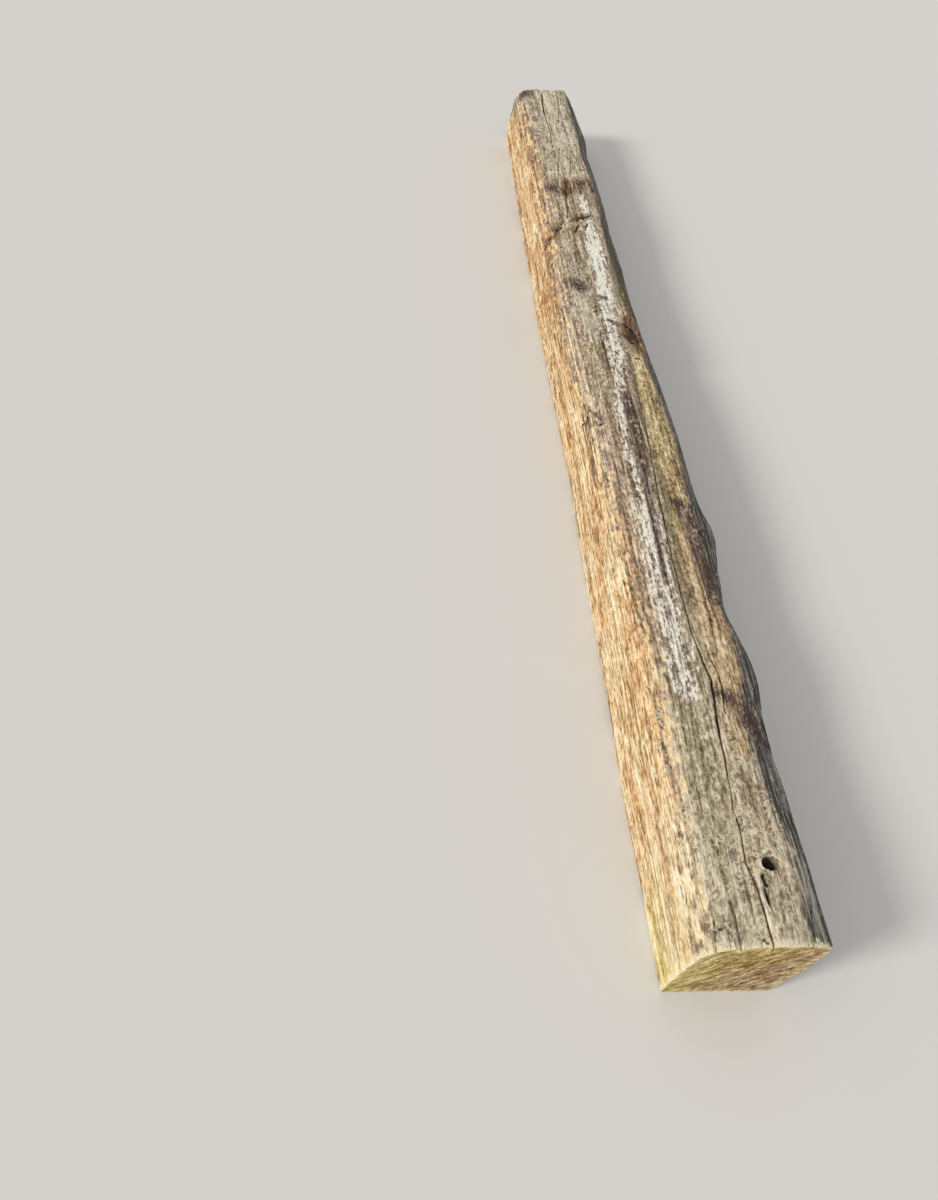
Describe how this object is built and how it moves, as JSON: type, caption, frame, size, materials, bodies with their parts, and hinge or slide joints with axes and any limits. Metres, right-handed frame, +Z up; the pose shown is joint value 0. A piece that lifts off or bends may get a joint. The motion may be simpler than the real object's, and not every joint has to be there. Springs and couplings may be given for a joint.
{
  "type": "timber railway sleeper",
  "caption": "Old hardwood railway sleeper with waney upper edges, long drying splits, a flat sawn bed and a blind spike hole near one end.",
  "frame": {"origin": "middle of the bounding box, at the level of the sawn bed", "axes": "+Z up from the bed, +Y along the sleeper towards its wider end, +X to the right seen from the narrower end"},
  "size_m": [0.214, 2.6, 0.1622],
  "materials": {
    "weathered_hardwood": "weathered bare hardwood, golden brown on its sheltered side and silvery grey with moss on top"
  },
  "bodies": {
    "root": {"sleeper": "weathered_hardwood"}
  },
  "joints": []
}
